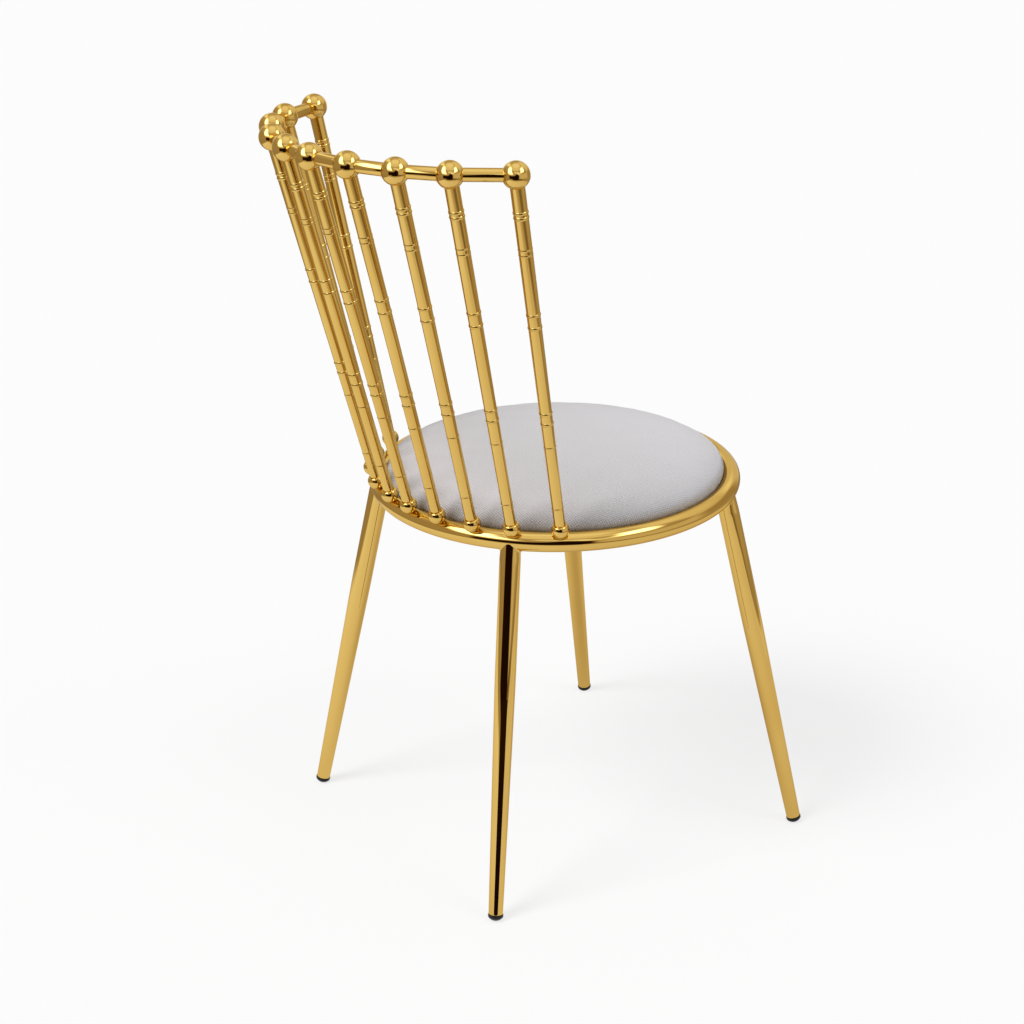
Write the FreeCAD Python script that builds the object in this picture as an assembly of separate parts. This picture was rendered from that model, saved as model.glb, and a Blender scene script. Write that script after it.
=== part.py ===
"""Dining chair: a round padded seat on a tube ring, four tapered legs, a fanned spindle back.

Millimetres, +Z up. The floor is Z = 0, the sitter faces -Y and +X is on the sitter's left.
The origin is on the floor below the middle of the chair's outline.
"""
import FreeCAD, Part
import math
import os

# Seat ring
ring_radius = 200.0        # centre line of the bent tube
ring_tube_d = 22.0
ring_wall = 1.5
ring_height = 415.0        # centre line above the floor
vent_d = 8.0               # drain hole into each leg

# Legs, angles taken round the ring from the rear for the back pair and from the front for the front pair
leg_d = 23.0               # parallel upper part
leg_set_in = 1.0           # how much thinner a leg top is than the ring tube
leg_neck = 20.0            # length drawn in to the ring
leg_foot_d = 16.0
leg_taper = 263.0          # length of the tapered lower part
leg_wall = 1.5
leg_weld = 2.5             # radius of the polished weld under the ring
back_leg_angle = 41.6
back_foot_angle = 41.7
back_splay = 91.0          # foot further out than the leg's top
front_leg_angle = 53.0
front_foot_angle = 48.0
front_splay = 88.0

# Feet
foot_lip = 0.5             # how far the foot stands out past the leg
foot_head = 7.0            # head length on the leg's axis
foot_dome_r = 10.1
foot_flat_d = 8.0          # flat that meets the floor
foot_stem = 16.0
foot_fit = 0.1

# Back, a fan of spindles from the ring to balls on a wider arc
arc_radius = 218.0
arc_setback = 96.0         # arc centre behind the ring centre
rail_height = 833.0        # ball centres at the middle of the back
rail_end_drop = 4.2        # how much lower the end balls are
spindles_per_side = 5
middle_bay = 12.8          # degrees between the two middle balls
plain_bay = 14.5
end_bay = 16.9
base_fan = 0.85            # spindle angle on the ring over its angle on the arc

# Spindles, places measured down the axis from the ball centre
spindle_top_d = 15.2
spindle_foot_d = 11.9
spindle_wall = 1.2
top_beads = 38.6           # first bead of each pair
top_bead_gap = 5.5
middle_beads = 149.8
middle_bead_gap = 14.1
lower_beads = 262.0
lower_bead_gap = 12.0
bead_length = 3.4
bead_proud = 0.6
upper_marks = 77.8         # fine rings
upper_mark_gap = 5.9
lower_mark = 301.5
foot_mark = 375.6
mark_length = 2.2
mark_proud = 0.3

# Balls and rails
ball_d = 28.6
ball_wall = 1.6
rail_d = 13.9
rail_wall = 1.2
tube_tuck = 0.6            # how far a tube end passes the inside of a ball
tube_part = 0.5            # room left between tube ends inside a ball

# Collars that seat the spindles on the outer shoulder of the ring tube
collar_wall = 3.8
collar_rim = 1.6
collar_sink = 1.1          # depth of the saddle where a collar meets the tube
collar_lean = 26.8         # degrees outwards from the top of the tube
collar_floor = 1.0         # socket floor below the collar centre
socket_gap = 0.3           # between the socket floor and the spindle end

# Fits
weld_gap = 0.1
tube_fit = 0.1

# Seat pad, edge and crown measured from the top of the ring tube
pad_rest_gap = 0.6         # between the pad's drawn-in side and the ring tube
pad_edge_inset = 4.4       # widest reach of the edge's rounding inside the ring centre line
pad_edge_sink = 4.7        # centre of the edge's rounding below the top of the ring tube
pad_edge_r = 20.0
pad_crown = 35.0
cover_t = 1.2
cover_fit = 0.15
board_t = 12.0
board_drop = 6.0           # board underside below the ring centre line
dust_t = 0.6
dust_lap = 8.0             # how far the dust cover laps onto the hem
dust_clear = 3.3           # between the dust cover and the tab tips

# Seat fixings
tab_width = 22.0
tab_t = 3.0
tab_corner_r = 5.5
tab_reach = 28.0           # tab tip inside the pad's side
tab_hole_inset = 12.0      # hole outside the tab tip
screw_d = 5.0
screw_play = 0.3
head_d = 10.0
head_t = 3.2
head_round = 1.6
nut_barrel_d = 7.8
nut_barrel_l = 9.0
nut_flange_d = 17.0
nut_flange_t = 1.4
nut_fit = 0.1

up = FreeCAD.Vector(0, 0, 1)
ring_r = ring_tube_d / 2
leg_top_d = ring_tube_d - leg_set_in
foot_d = leg_foot_d + 2 * foot_lip
collar_r = spindle_foot_d / 2 + collar_wall
back_foot_radius = ring_radius + back_splay
front_foot_radius = ring_radius + front_splay
ball_reach = arc_setback + arc_radius * math.cos(math.radians(middle_bay / 2)) + ball_d / 2
back_foot_reach = back_foot_radius * math.cos(math.radians(back_foot_angle)) + foot_d / 2
front_foot_reach = front_foot_radius * math.cos(math.radians(front_foot_angle)) + foot_d / 2
rear_reach = max(ball_reach, back_foot_reach)
front_reach = max(ring_radius + ring_r, front_foot_reach)
seat_y = (front_reach - rear_reach) / 2
seat_centre = FreeCAD.Vector(0, seat_y, ring_height)


def round_ring(radius, angle, height):
    """Point at an angle from the rear, turning towards +X, about the ring's axis."""
    turn = math.radians(angle)
    return FreeCAD.Vector(radius * math.sin(turn), seat_y + radius * math.cos(turn), height)


def flat(r, z):
    """Point of a turned profile: r from the axis, z along it."""
    return FreeCAD.Vector(r, 0, z)


def line(start, end):
    return Part.LineSegment(start, end).toShape()


def arc(start, middle, end):
    return Part.Arc(start, middle, end).toShape()


def turned(edges):
    """Solid of revolution of a closed profile about Z."""
    face = Part.Face(Part.Wire(edges))
    return face.revolve(FreeCAD.Vector(0, 0, 0), up, 360)


def outline(points):
    """Closed profile of straight edges."""
    return [line(a, b) for a, b in zip(points, points[1:] + points[:1])]


def placed(shape, origin, direction):
    """Shape moved so that its Z axis starts at origin and points along direction."""
    moved = shape.copy()
    moved.Placement = FreeCAD.Placement(origin, FreeCAD.Rotation(up, direction))
    return moved


def save(shape, node):
    solid = shape.removeSplitter()
    solid.exportStep("parts/" + node + ".step")


def ring_tube(radius):
    """Full torus on the ring's centre line."""
    return Part.makeTorus(ring_radius, radius, seat_centre, up)


def ball_seat(tube_d, other_d):
    """Distance from a ball's centre at which the end of a tube stops."""
    inside = ball_d / 2 - ball_wall
    crossing = math.sqrt(inside ** 2 - (tube_d / 2) ** 2)
    return max(crossing - tube_tuck, other_d / 2 + tube_part)


# Places of the back
def half_angles():
    """Ball angles on one side of the middle, from the middle outwards."""
    angles = [middle_bay / 2 + i * plain_bay for i in range(spindles_per_side - 1)]
    return angles + [angles[-1] + end_bay]


def back_angles():
    """Ball angles from the -X end to the +X end."""
    half = half_angles()
    return [-a for a in reversed(half)] + half


def ball_centre(angle):
    turn = math.radians(angle)
    drop = rail_end_drop * (angle / half_angles()[-1]) ** 2
    y = seat_y + arc_setback + arc_radius * math.cos(turn)
    return FreeCAD.Vector(arc_radius * math.sin(turn), y, rail_height - drop)


def collar_centre(angle):
    lean = math.radians(collar_lean)
    away = ring_r + collar_r - collar_sink
    out = ring_radius + away * math.sin(lean)
    return round_ring(out, angle * base_fan, ring_height + away * math.cos(lean))


# Places of the legs
def leg_ends():
    """Floor point and ring point of each leg."""
    ends = {}
    for side, sign in (("left", 1), ("right", -1)):
        back_top = round_ring(ring_radius, sign * back_leg_angle, ring_height)
        back_foot = round_ring(back_foot_radius, sign * back_foot_angle, 0)
        front_top = round_ring(ring_radius, sign * (180 - front_leg_angle), ring_height)
        front_foot = round_ring(front_foot_radius, sign * (180 - front_foot_angle), 0)
        ends["back_" + side] = (back_foot, back_top)
        ends["front_" + side] = (front_foot, front_top)
    return ends


def seat_ring():
    """Hollow bent tube with a drain hole into each leg."""
    shape = ring_tube(ring_r).cut(ring_tube(ring_r - ring_wall))
    for foot, top in leg_ends().values():
        vent = Part.makeCylinder(vent_d / 2, ring_tube_d, top, foot - top)
        shape = shape.cut(vent)
    return shape


def on_both_skins(edge, first, second):
    """True for an edge that lies on the skins of two shapes."""
    middle = edge.valueAt((edge.FirstParameter + edge.LastParameter) / 2)
    vertex = Part.Vertex(middle)
    gaps = [min(vertex.distToShape(f)[0] for f in shape.Faces) for shape in (first, second)]
    return max(gaps) < 1e-4


def leg_shaft(length, inset):
    """Turned leg, tapered below, parallel above and drawn in at the top, its skin moved in by inset."""
    shaft_r = leg_d / 2 - inset
    return turned(outline([
        flat(0, 0),
        flat(leg_foot_d / 2 - inset, 0),
        flat(shaft_r, leg_taper),
        flat(shaft_r, length - leg_neck),
        flat(leg_top_d / 2 - inset, length),
        flat(0, length),
    ]))


def leg(foot, top):
    """Tube leg with its top fitted under the ring and a rounded weld there."""
    axis = top - foot
    length = axis.Length - foot_head
    end = foot + axis * (foot_head / axis.Length)
    body = placed(leg_shaft(length, 0), end, axis)
    tube = ring_tube(ring_r + weld_gap)
    joined = body.fuse(tube)
    seam = [e for e in joined.Edges if on_both_skins(e, body, tube)]
    welded = joined.makeFillet(leg_weld, seam)
    return welded.cut(tube).cut(placed(leg_shaft(length, leg_wall), end, axis))


def foot_plug(foot, top):
    """Push-in plug with a domed head, cut flat where it meets the floor."""
    axis = top - foot
    step = axis / axis.Length
    shoulder = foot + step * foot_head
    head = Part.makeCylinder(foot_d / 2, 2 * foot_head, foot - step * foot_head, axis)
    dome_height = math.sqrt(foot_dome_r ** 2 - (foot_flat_d / 2) ** 2)
    dome = Part.makeSphere(foot_dome_r, foot + axis * (dome_height / axis.z))
    floor = Part.makeBox(4 * foot_d, 4 * foot_d, foot_d)
    floor.translate(foot - FreeCAD.Vector(2 * foot_d, 2 * foot_d, foot_d))
    head = head.common(dome).cut(floor)
    stem_r = leg_foot_d / 2 - leg_wall - foot_fit
    stem = Part.makeCylinder(stem_r, foot_stem, shoulder, axis)
    return head.fuse(stem)


def spindle(ball, collar):
    """Tapered tube with low turned beads, axis from the ball down to the collar."""
    length = (ball - collar).Length
    start = ball_seat(spindle_top_d, rail_d)
    end = length + collar_floor - socket_gap

    def skin(s):
        share = (s - start) / (end - start)
        return (spindle_top_d + (spindle_foot_d - spindle_top_d) * share) / 2

    beads = [top_beads, top_beads + top_bead_gap, middle_beads, middle_beads + middle_bead_gap,
             lower_beads, lower_beads + lower_bead_gap]
    rings = [upper_marks, upper_marks + upper_mark_gap, lower_mark, foot_mark]
    marks = [(s, bead_length, bead_proud) for s in beads]
    marks += [(s, mark_length, mark_proud) for s in rings]
    marks = [m for m in sorted(marks) if m[0] + m[1] < length - collar_r]
    edges = []
    corner = flat(skin(start), -start)
    for s, size, proud in marks:
        above = flat(skin(s - size / 2), size / 2 - s)
        below = flat(skin(s + size / 2), -s - size / 2)
        edges.append(line(corner, above))
        edges.append(arc(above, flat(skin(s) + proud, -s), below))
        corner = below
    inner_end = flat(skin(end) - spindle_wall, -end)
    inner_start = flat(skin(start) - spindle_wall, -start)
    edges.append(line(corner, flat(skin(end), -end)))
    edges.append(line(flat(skin(end), -end), inner_end))
    edges.append(line(inner_end, inner_start))
    edges.append(line(inner_start, flat(skin(start), -start)))
    return placed(turned(edges), ball, ball - collar)


def back_ball(centre, tubes):
    """Hollow ball with a hole for each tube: pairs of far point and tube diameter."""
    shape = Part.makeSphere(ball_d / 2, centre)
    shape = shape.cut(Part.makeSphere(ball_d / 2 - ball_wall, centre))
    for far, tube_d in tubes:
        hole = Part.makeCylinder(tube_d / 2 + tube_fit, ball_d, centre, far - centre)
        shape = shape.cut(hole)
    return shape


def rail(start, end):
    """Straight tube between two balls."""
    step = (end - start).normalize()
    seat = ball_seat(rail_d, spindle_top_d)
    length = (end - start).Length - 2 * seat
    tube = Part.makeCylinder(rail_d / 2, length, start + step * seat, step)
    return tube.cut(Part.makeCylinder(rail_d / 2 - rail_wall, length, start + step * seat, step))


def collar(centre, ball):
    """Ball sunk on the ring tube, flat at its rim, with a socket for the spindle's foot."""
    axis = (ball - centre).normalize()
    socket_r = spindle_foot_d / 2 + tube_fit
    rim_z = math.sqrt(collar_r ** 2 - (socket_r + collar_rim) ** 2)
    socket = Part.makeCylinder(socket_r, 2 * collar_r, centre - axis * collar_floor, axis)
    above = Part.makeCylinder(collar_r, collar_r, centre + axis * rim_z, axis)
    body = Part.makeSphere(collar_r, centre).cut(ring_tube(ring_r + weld_gap))
    return body.cut(socket.fuse(above))


# Seat pad, turned profiles with z measured from the ring's centre line
pad_side_r = ring_radius - ring_r - pad_rest_gap
pad_wide_r = ring_radius - pad_edge_inset
pad_wide_z = ring_r - pad_edge_sink
pad_top_z = ring_r + pad_crown
board_r = pad_side_r - cover_t - cover_fit
board_top_z = board_t - board_drop
tab_tip_r = pad_side_r - tab_reach
tab_hole_r = tab_tip_r + tab_hole_inset
dust_r = tab_tip_r - dust_clear
hem_inner_r = dust_r - dust_lap
hem_top_z = -board_drop - cover_fit
hem_under_z = hem_top_z - cover_t


def pad_solid(inset, bottom_z):
    """Crowned pad, drawn in round the tube below its widest part, every skin moved in by inset."""
    edge_r = pad_edge_r - inset
    side_r = ring_r + pad_rest_gap + inset
    top_z = pad_top_z - inset
    edge_x = pad_wide_r - pad_edge_r
    drop = pad_wide_z - top_z
    crown_r = (edge_r ** 2 - edge_x ** 2 - drop ** 2) / (2 * (drop + edge_r))
    crown_z = top_z - crown_r
    join = math.atan2(edge_x, pad_wide_z - crown_z)
    crown_mid = flat(crown_r * math.sin(join / 2), crown_z + crown_r * math.cos(join / 2))
    crown_end = flat(crown_r * math.sin(join), crown_z + crown_r * math.cos(join))
    # The edge's arc runs on to the arc that follows the tube at side_r from its centre
    across = ring_radius - edge_x
    apart = math.hypot(across, pad_wide_z)
    along = (edge_r ** 2 - side_r ** 2 + apart ** 2) / (2 * apart)
    aside = math.sqrt(edge_r ** 2 - along ** 2)
    crease_x = edge_x + (along * across + aside * pad_wide_z) / apart
    crease_z = pad_wide_z + (aside * across - along * pad_wide_z) / apart
    crease = flat(crease_x, crease_z)
    tuck = math.atan2(crease_z - pad_wide_z, crease_x - edge_x)
    edge_turn = (math.pi / 2 - join + tuck) / 2
    edge_mid = flat(edge_x + edge_r * math.cos(edge_turn), pad_wide_z + edge_r * math.sin(edge_turn))
    swing = (math.atan2(crease_z, crease_x - ring_radius) + math.pi) / 2
    side_mid = flat(ring_radius + side_r * math.cos(swing), side_r * math.sin(swing))
    waist = flat(ring_radius - side_r, 0)
    bottom = flat(ring_radius - side_r, bottom_z)
    edges = [
        arc(flat(0, top_z), crown_mid, crown_end),
        arc(crown_end, edge_mid, crease),
        arc(crease, side_mid, waist),
        line(waist, bottom),
        line(bottom, flat(0, bottom_z)),
        line(flat(0, bottom_z), flat(0, top_z)),
    ]
    return turned(edges)


def disc(radius, bottom_z, thickness):
    return Part.makeCylinder(radius, thickness, FreeCAD.Vector(0, 0, bottom_z))


def tab_places():
    """Turn of each seat tab from the rear."""
    return {"back": 0, "left": 90, "front": 180, "right": 270}


def fixing_holes(diameter):
    """Upright cylinders at the seat screws, right through the pad."""
    length = 2 * (pad_top_z + board_t)
    holes = []
    for angle in tab_places().values():
        turn = math.radians(angle)
        base = FreeCAD.Vector(tab_hole_r * math.sin(turn), tab_hole_r * math.cos(turn), -length / 2)
        holes.append(Part.makeCylinder(diameter / 2, length, base))
    return Part.makeCompound(holes)


def on_seat(shape):
    """Shape drawn about the seat's own centre, moved to the seat."""
    moved = shape.copy()
    moved.translate(seat_centre)
    return moved


def seat_cover():
    """Fabric skin over the pad, turned under the board in a hem."""
    skin = pad_solid(0, hem_under_z).cut(pad_solid(cover_t, hem_top_z))
    skin = skin.cut(disc(hem_inner_r, hem_under_z, cover_t))
    holes = fixing_holes(screw_d + 2 * screw_play)
    return on_seat(skin.cut(holes.common(disc(board_r, hem_under_z, cover_t))))


def seat_foam():
    """Foam between the board and the cover."""
    foam = pad_solid(cover_t + cover_fit, -board_drop)
    return on_seat(foam.cut(disc(ring_radius, -board_drop, board_t)))


def seat_board():
    """Round plywood board, bored and counterbored for the nuts."""
    board = disc(board_r, -board_drop, board_t)
    board = board.cut(fixing_holes(nut_barrel_d + 2 * nut_fit))
    flange = fixing_holes(nut_flange_d + 2 * nut_fit)
    recess = flange.common(disc(board_r, board_top_z - nut_flange_t - nut_fit, board_t))
    return on_seat(board.cut(recess))


def dust_cover():
    """Thin cloth disc that hides the hem's edge below the board."""
    return on_seat(disc(dust_r, hem_under_z - dust_t, dust_t))


def seat_tab(angle):
    """Flat steel tab welded inside the ring with a screw hole."""
    top_z = hem_under_z
    plate = Part.makeBox(tab_width, ring_radius - tab_tip_r, tab_t)
    plate.translate(FreeCAD.Vector(-tab_width / 2, tab_tip_r, top_z - tab_t))
    corners = [e for e in plate.Edges if abs(e.CenterOfMass.y - tab_tip_r) < 1e-6
               and abs(abs(e.CenterOfMass.x) - tab_width / 2) < 1e-6]
    plate = plate.makeFillet(tab_corner_r, corners)
    hole_at = FreeCAD.Vector(0, tab_hole_r, top_z - 2 * tab_t)
    plate = plate.cut(Part.makeCylinder(screw_d / 2 + screw_play, 3 * tab_t, hole_at))
    plate.rotate(FreeCAD.Vector(0, 0, 0), up, -angle)
    return on_seat(plate).cut(ring_tube(ring_r + weld_gap))


def at_fixings(shape):
    """Copies of a piece drawn on the Z axis, one at each seat screw."""
    copies = []
    for angle in tab_places().values():
        copy = shape.copy()
        copy.translate(FreeCAD.Vector(0, tab_hole_r, 0))
        copy.rotate(FreeCAD.Vector(0, 0, 0), up, -angle)
        copies.append(on_seat(copy))
    return Part.makeCompound(copies)


def seat_screws():
    """Pan head screws from below, through the tabs into the nuts."""
    under_z = hem_under_z - tab_t
    tip_z = board_top_z - nut_flange_t
    head = Part.makeCylinder(head_d / 2, head_t, FreeCAD.Vector(0, 0, under_z - head_t))
    rim = [e for e in head.Edges if abs(e.CenterOfMass.z - under_z + head_t) < 1e-6]
    head = head.makeFillet(head_round, rim)
    shank = Part.makeCylinder(screw_d / 2, tip_z - under_z, FreeCAD.Vector(0, 0, under_z))
    return at_fixings(head.fuse(shank))


def tee_nuts():
    """Flanged nuts let into the top of the board."""
    flange_z = board_top_z - nut_flange_t
    bore_r = screw_d / 2 + nut_fit
    nut = turned(outline([
        flat(bore_r, board_top_z),
        flat(nut_flange_d / 2, board_top_z),
        flat(nut_flange_d / 2, flange_z),
        flat(nut_barrel_d / 2, flange_z),
        flat(nut_barrel_d / 2, board_top_z - nut_barrel_l),
        flat(bore_r, board_top_z - nut_barrel_l),
    ]))
    return at_fixings(nut)


def save_back():
    """Balls, spindles, collars and the rails between the balls."""
    angles = back_angles()
    balls = [ball_centre(a) for a in angles]
    collars = [collar_centre(a) for a in angles]
    for i, (centre, seat) in enumerate(zip(balls, collars)):
        number = "%02d" % (i + 1)
        tubes = [(seat, spindle_top_d)]
        if i > 0:
            tubes.append((balls[i - 1], rail_d))
        if i < len(balls) - 1:
            tubes.append((balls[i + 1], rail_d))
            save(rail(centre, balls[i + 1]), "rail_" + number)
        save(back_ball(centre, tubes), "ball_" + number)
        save(spindle(centre, seat), "spindle_" + number)
        save(collar(seat, centre), "collar_" + number)


def save_legs():
    """Legs with their feet."""
    for name, (foot, top) in leg_ends().items():
        save(leg(foot, top), "leg_" + name)
        save(foot_plug(foot, top), "foot_" + name)


def save_seat():
    """Pad, its board and covers, and what fixes it to the ring."""
    save(seat_cover(), "seat_cover")
    save(seat_foam(), "seat_foam")
    save(seat_board(), "seat_board")
    save(dust_cover(), "dust_cover")
    for name, angle in tab_places().items():
        save(seat_tab(angle), "seat_tab_" + name)
    save(seat_screws(), "seat_screws")
    save(tee_nuts(), "tee_nuts")


os.makedirs("parts", exist_ok=True)
save(seat_ring(), "seat_ring")
save_legs()
save_back()
save_seat()
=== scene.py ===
"""Looks of a dining chair: polished gold tube frame, spindle back, round woven pad, black feet.

Metres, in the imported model's own frame: +Z up, floor at Z = 0, the sitter faces -Y.
"""
import math

import bmesh
import bpy
import numpy as np
from bpy.props import FloatProperty, FloatVectorProperty, IntProperty, PointerProperty
from bpy.types import Operator, Panel, PropertyGroup
from mathutils import Matrix, Vector


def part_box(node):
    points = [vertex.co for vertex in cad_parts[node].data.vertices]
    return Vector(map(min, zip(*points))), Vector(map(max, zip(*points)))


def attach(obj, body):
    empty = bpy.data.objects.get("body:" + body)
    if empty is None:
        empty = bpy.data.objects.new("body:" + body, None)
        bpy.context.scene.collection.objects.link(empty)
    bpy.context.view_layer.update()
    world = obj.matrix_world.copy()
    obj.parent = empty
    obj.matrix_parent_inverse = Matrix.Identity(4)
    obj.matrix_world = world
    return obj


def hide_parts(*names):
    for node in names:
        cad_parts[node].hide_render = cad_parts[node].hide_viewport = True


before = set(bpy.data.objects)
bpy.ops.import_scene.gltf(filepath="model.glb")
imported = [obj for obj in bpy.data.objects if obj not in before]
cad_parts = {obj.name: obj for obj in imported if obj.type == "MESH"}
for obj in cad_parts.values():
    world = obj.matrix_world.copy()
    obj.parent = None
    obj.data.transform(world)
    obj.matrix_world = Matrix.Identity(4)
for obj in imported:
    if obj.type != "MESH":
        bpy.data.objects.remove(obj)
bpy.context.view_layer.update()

bl_info = {
    "name": "Spindle-back dining chair",
    "version": (1, 0, 0),
    "blender": (4, 5, 0),
    "location": "3D View > Sidebar > Chair",
    "description": "Models and dresses a gold spindle-back chair with a round pad",
    "category": "Object",
}

up = Vector((0, 0, 1))
ring_low, ring_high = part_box("seat_ring")
seat_middle = (ring_low + ring_high) / 2
full_turn = 2 * math.pi
merge_gap = 1e-6


def length(name, description, default):
    """A property that holds a size in metres."""
    return FloatProperty(name=name, description=description, default=default, min=0, precision=5,
                         unit="LENGTH")


def lengths(name, description, default):
    """A property that holds a row of sizes in metres."""
    return FloatVectorProperty(name=name, description=description, default=default, size=len(default),
                               precision=5, unit="LENGTH")


def turn(name, description, default):
    """A property that holds an angle, given in degrees."""
    return FloatProperty(name=name, description=description, default=math.radians(default), subtype="ANGLE")


def colour(name, description, default):
    """A property that holds a linear colour."""
    return FloatVectorProperty(name=name, description=description, default=default, subtype="COLOR",
                               min=0, max=1)


def amount(name, description, default):
    """A property that holds a plain number."""
    return FloatProperty(name=name, description=description, default=default, min=0)


def way(name, description, default):
    """A property that holds a direction."""
    return FloatVectorProperty(name=name, description=description, default=default, subtype="DIRECTION")


class FrameSizes(PropertyGroup):
    """Sizes of the seat ring, the legs and the feet."""
    ring_radius: length("Ring radius", "Centre line of the bent tube", 0.200)
    tube_radius: length("Tube radius", "Outer radius of the ring's tube", 0.011)
    leg_shaft: length("Leg radius", "Radius of a leg's parallel upper part", 0.0115)
    leg_top: length("Leg top radius", "Leg radius where it meets the ring", 0.0105)
    leg_neck: length("Leg neck", "Length that is drawn in to the ring", 0.020)
    leg_end: length("Leg end radius", "Leg radius at the foot", 0.008)
    leg_taper: length("Leg taper", "Length of the tapered lower part", 0.263)
    leg_lip: length("Leg lip", "Rounding of the leg's lower end", 0.0008)
    weld: length("Weld radius", "Rounding of the polished weld under the ring", 0.0025)
    weld_root: length("Weld root", "How far a weld runs on inside the ring's tube", 0.002)
    back_angle: turn("Back leg angle", "Place of a back leg on the ring, from the rear", 41.6)
    back_foot_angle: turn("Back foot angle", "Place of a back foot, from the rear", 41.7)
    back_foot_radius: length("Back foot radius", "Back foot from the seat's axis", 0.291)
    front_angle: turn("Front leg angle", "Place of a front leg on the ring, from the rear", 127.0)
    front_foot_angle: turn("Front foot angle", "Place of a front foot, from the rear", 132.0)
    front_foot_radius: length("Front foot radius", "Front foot from the seat's axis", 0.288)
    foot_radius: length("Foot radius", "Radius of a foot's head", 0.0085)
    foot_head: length("Foot head", "Length of a foot's head on the leg's axis", 0.007)
    dome_radius: length("Foot dome", "Radius of the domed underside", 0.0101)
    flat_radius: length("Foot flat", "Radius of the flat that meets the floor", 0.004)
    foot_edge: length("Foot edge", "Rounding of a foot's upper edge", 0.0006)


class BackSizes(PropertyGroup):
    """Sizes of the spindles, balls, rails and collars."""
    arc_radius: length("Arc radius", "Arc that the balls stand on", 0.218)
    arc_setback: length("Arc setback", "Arc centre behind the seat's axis", 0.096)
    rail_height: length("Rail height", "Ball centres at the middle of the back", 0.833)
    end_drop: length("End drop", "How much lower the end balls are", 0.0042)
    ball_radius: length("Ball radius", "Radius of a ball", 0.0143)
    rail_radius: length("Rail radius", "Radius of a rail", 0.00695)
    rail_start: length("Rail start", "End of a rail from a ball's centre", 0.01003)
    spindle_top: length("Spindle top radius", "Spindle radius at the ball", 0.0076)
    spindle_start: length("Spindle start", "Upper end of a spindle from the ball's centre", 0.009575)
    spindle_end: length("Spindle foot radius", "Spindle radius at the collar", 0.00595)
    collar_radius: length("Collar radius", "Radius of a collar", 0.00975)
    collar_out: length("Collar place", "Collar centre from the seat's axis", 0.20886)
    collar_height: length("Collar height", "Collar centre above the floor", 0.43254)
    base_fan: amount("Base fan", "Spindle angle on the ring over its angle above", 0.85)
    fit_gap: length("Fit gap", "Room round a spindle in its ball and its collar", 0.0001)
    edge_round: length("Edge rounding", "Rounding of the turned edges", 0.0004)
    collar_wall: length("Collar wall", "Width of a collar's rim", 0.0016)
    socket_floor: length("Socket floor", "Floor of a collar's socket below its centre", 0.001)
    spindle_seat: length("Spindle seat", "How far a spindle reaches past its collar's centre", 0.0007)
    mouth_depth: length("Mouth depth", "Depth of a ball's opening", 0.003)
    bead_places: lengths("Bead places", "Beads from a ball's centre",
                         (0.0386, 0.0441, 0.1498, 0.1639, 0.262, 0.274))
    bead_width: length("Bead width", "Width of a bead", 0.0034)
    bead_height: length("Bead height", "How far a bead stands out", 0.0006)
    line_places: lengths("Line places", "Fine lines from a ball's centre", (0.0778, 0.0837, 0.3015, 0.3756))
    line_width: length("Line width", "Width of a fine line", 0.0022)
    line_height: length("Line height", "How far a fine line stands out", 0.0003)


class PadSizes(PropertyGroup):
    """Sizes of the upholstered pad and what holds it."""
    wide_radius: length("Pad radius", "Widest reach of the edge's rounding", 0.1956)
    wide_height: length("Edge height", "Centre of the edge's rounding above the floor", 0.4213)
    edge_round: length("Edge rounding", "Rounding of the pad's edge", 0.020)
    crown_height: length("Crown height", "Top of the pad above the floor", 0.461)
    tube_gap: length("Tube gap", "Room between the pad's side and the ring's tube", 0.0006)
    hem_height: length("Hem height", "Underside of the hem above the floor", 0.40765)
    hem_edge: length("Hem edge", "Bevel where the pad's side turns under", 0.001)
    hem_reach: length("Hem reach", "Outermost of the rings that fill the underside", 0.16)
    dust_radius: length("Dust cloth radius", "Radius of the cloth under the board", 0.1571)
    dust_thickness: length("Dust cloth thickness", "Thickness of the cloth under the board", 0.0006)
    swell: length("Swell", "Most that the stuffing may push the cover out", 0.005)
    slack: amount("Slack", "Share of the swell that the unstuffed crown is lower by", 0.8)
    wrinkles: amount("Wrinkles", "Share of the stuffing's wrinkles that stays", 0.2)
    cell: length("Cloth cell", "Size of a cell of the simulated cover", 0.005)
    weave_pitch: length("Weave pitch", "Distance between neighbouring yarns", 0.0025)
    tab_width: length("Tab width", "Width of a seat tab", 0.022)
    tab_thickness: length("Tab thickness", "Thickness of a seat tab", 0.003)
    tab_tip: length("Tab tip", "Tip of a tab from the seat's axis", 0.1604)
    tab_root: length("Tab root", "Welded end of a tab inside the ring's centre line", 0.008)
    tab_corner: length("Tab corner", "Rounding of a tab's corners", 0.0055)
    tab_edge: length("Tab edge", "Rounding of a tab's edges", 0.0004)
    screw_place: length("Screw place", "Seat screw from the seat's axis", 0.1724)
    head_radius: length("Screw head radius", "Radius of a screw head", 0.005)
    head_height: length("Screw head height", "Height of a screw head", 0.0032)
    head_round: length("Screw head rounding", "Rounding of a screw head", 0.0016)
    shank_radius: length("Shank radius", "Radius of a screw's shank", 0.0025)
    shank_length: length("Shank length", "Length of a screw's shank", 0.010)
    cross_length: length("Cross length", "Length of a slot of the cross recess", 0.0046)
    cross_width: length("Cross width", "Width of a slot of the cross recess", 0.0011)
    cross_depth: length("Cross depth", "Depth of the cross recess", 0.0018)
    staples: IntProperty(name="Staples", description="Staples round the dust cloth", default=28, min=1)
    staple_place: length("Staple place", "Staple from the seat's axis", 0.1525)
    staple_size: lengths("Staple size", "Length, width and height of a staple's back",
                         (0.0105, 0.0011, 0.0006))
    staple_round: length("Staple rounding", "Rounding of a staple's wire", 0.00028)
    staple_stand: length("Staple stand", "Middle of a staple's back below the cloth", 0.0002)


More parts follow.
